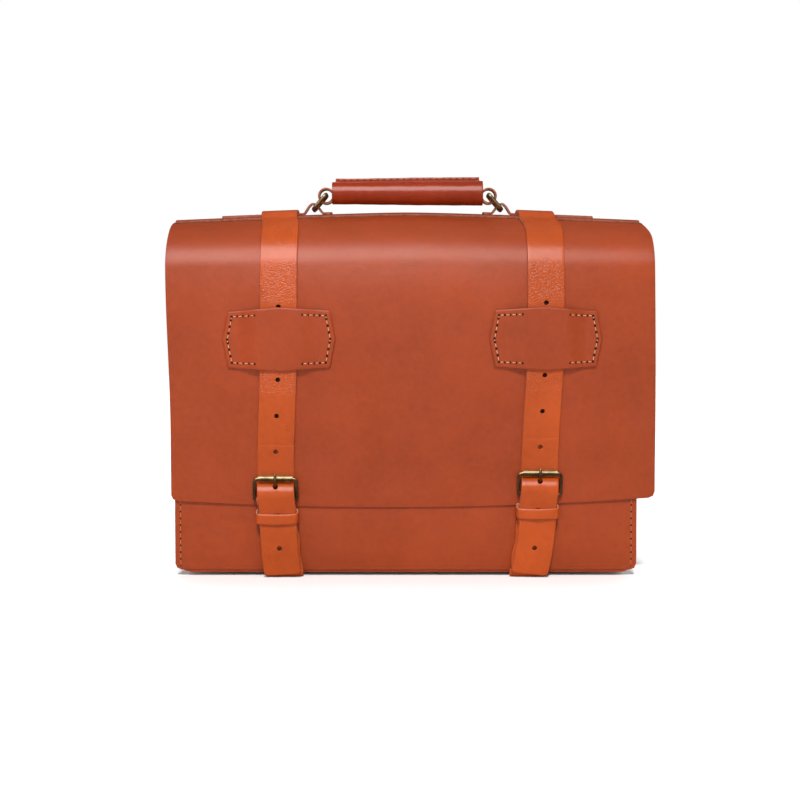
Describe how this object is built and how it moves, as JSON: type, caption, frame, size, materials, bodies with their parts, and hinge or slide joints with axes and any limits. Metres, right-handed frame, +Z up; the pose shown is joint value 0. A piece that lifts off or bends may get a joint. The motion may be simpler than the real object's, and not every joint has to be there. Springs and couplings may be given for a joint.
{
  "type": "leather briefcase",
  "caption": "Leather satchel briefcase with a full front flap, buckled straps that run over the top, sewn guide plates and a rolled handle on metal rings.",
  "frame": {"origin": "middle of the footprint, on the surface that the two straps under the base stand on", "axes": "+X along the width, to the right seen from the front; the front faces -Y; +Z up"},
  "size_m": [0.396, 0.1174, 0.332],
  "materials": {
    "body_leather": "soft sheen",
    "gusset_leather": "soft sheen",
    "strap_leather": "polished",
    "handle_leather": "polished",
    "thread": "waxed",
    "antique_brass": "aged",
    "filling": "matte"
  },
  "bodies": {
    "case": {"front_panel": "body_leather", "back_panel": "body_leather", "gusset_left": "gusset_leather", "gusset_right": "gusset_leather", "gusset_base": "gusset_leather", "seam_front": "thread", "seam_back": "thread", "strap_back_left": "strap_leather", "strap_back_right": "strap_leather"},
    "flap_top": {"flap_top_panel": "body_leather", "top_strip": "body_leather", "handle_base_left": "strap_leather", "handle_base_right": "strap_leather", "seam_handle_bases": "thread", "strap_top_left": "strap_leather", "strap_top_right": "strap_leather"},
    "flap_front": {"flap_front_panel": "body_leather", "strap_front_left": "strap_leather", "strap_front_right": "strap_leather", "guide_plate_left": "body_leather", "guide_plate_right": "body_leather", "seam_guide_left": "thread", "seam_guide_right": "thread"},
    "ring_left": {"handle_ring_left": "antique_brass"},
    "handle": {"handle_grip": "handle_leather", "handle_core": "filling", "handle_strap": "strap_leather", "seam_handle": "thread"},
    "ring_right": {"handle_ring_right": "antique_brass"},
    "chape_left": {"chape_left": "strap_leather", "keeper_left": "body_leather", "seam_chape_left": "thread"},
    "buckle_left": {"buckle_frame_left": "antique_brass"},
    "roller_left": {"buckle_roller_left": "antique_brass"},
    "prong_left": {"buckle_prong_left": "antique_brass"},
    "tail_left": {"strap_tail_left": "strap_leather"},
    "chape_right": {"chape_right": "strap_leather", "keeper_right": "body_leather", "seam_chape_right": "thread"},
    "buckle_right": {"buckle_frame_right": "antique_brass"},
    "roller_right": {"buckle_roller_right": "antique_brass"},
    "prong_right": {"buckle_prong_right": "antique_brass"},
    "tail_right": {"strap_tail_right": "strap_leather"}
  },
  "joints": [
    {"name": "flap_lift", "type": "hinge", "parent": "case", "child": "flap_top", "pos_m": [0, 0.0544, 0.2985], "axis": [-1, 0, 0], "range_deg": [0, 130]},
    {"name": "flap_unfold", "type": "hinge", "parent": "flap_top", "child": "flap_front", "pos_m": [0, -0.04032, 0.29322], "axis": [-1, 0, 0], "range_deg": [0, 85]},
    {"name": "ring_left_swing", "type": "hinge", "parent": "flap_top", "child": "ring_left", "pos_m": [-0.0795, 0.01, 0.305], "axis": [0, 1, 0], "range_deg": [-8, 8]},
    {"name": "handle_swing", "type": "hinge", "parent": "ring_left", "child": "handle", "pos_m": [-0.069, 0.01, 0.3172], "axis": [0, 1, 0], "range_deg": [-9.5, 9.5]},
    {"name": "ring_right_swing", "type": "hinge", "parent": "flap_top", "child": "ring_right", "pos_m": [0.0795, 0.01, 0.305], "axis": [0, 1, 0], "range_deg": [-8, 8]},
    {"name": "chape_left_swing", "type": "hinge", "parent": "case", "child": "chape_left", "pos_m": [-0.108, -0.0484, 0.008], "axis": [1, 0, 0], "range_deg": [0, 75]},
    {"name": "buckle_left_tip", "type": "hinge", "parent": "chape_left", "child": "buckle_left", "pos_m": [-0.108, -0.0508, 0.0635], "axis": [1, 0, 0], "range_deg": [0, 40]},
    {"name": "roller_left_turn", "type": "hinge", "parent": "buckle_left", "child": "roller_left", "pos_m": [-0.108, -0.05315, 0.081], "axis": [1, 0, 0], "continuous": true},
    {"name": "prong_left_lift", "type": "hinge", "parent": "buckle_left", "child": "prong_left", "pos_m": [-0.108, -0.0508, 0.0635], "axis": [1, 0, 0], "range_deg": [0, 70]},
    {"name": "tail_left_pull", "type": "hinge", "parent": "flap_front", "child": "tail_left", "pos_m": [-0.108, -0.0485, 0.097], "axis": [-1, 0, 0], "range_deg": [0, 90], "deforming": ["strap_tail_left"]},
    {"name": "chape_right_swing", "type": "hinge", "parent": "case", "child": "chape_right", "pos_m": [0.108, -0.0484, 0.008], "axis": [1, 0, 0], "range_deg": [0, 75]},
    {"name": "buckle_right_tip", "type": "hinge", "parent": "chape_right", "child": "buckle_right", "pos_m": [0.108, -0.0508, 0.068], "axis": [1, 0, 0], "range_deg": [0, 40]},
    {"name": "roller_right_turn", "type": "hinge", "parent": "buckle_right", "child": "roller_right", "pos_m": [0.108, -0.05315, 0.0855], "axis": [1, 0, 0], "continuous": true},
    {"name": "prong_right_lift", "type": "hinge", "parent": "buckle_right", "child": "prong_right", "pos_m": [0.108, -0.0508, 0.068], "axis": [1, 0, 0], "range_deg": [0, 70]},
    {"name": "tail_right_pull", "type": "hinge", "parent": "flap_front", "child": "tail_right", "pos_m": [0.108, -0.0485, 0.1015], "axis": [-1, 0, 0], "range_deg": [0, 90], "deforming": ["strap_tail_right"]}
  ],
  "couplings": [
    {"joint": "handle_swing", "follows": "ring_left_swing", "ratio": -1.152},
    {"joint": "ring_right_swing", "follows": "ring_left_swing", "ratio": 1}
  ]
}
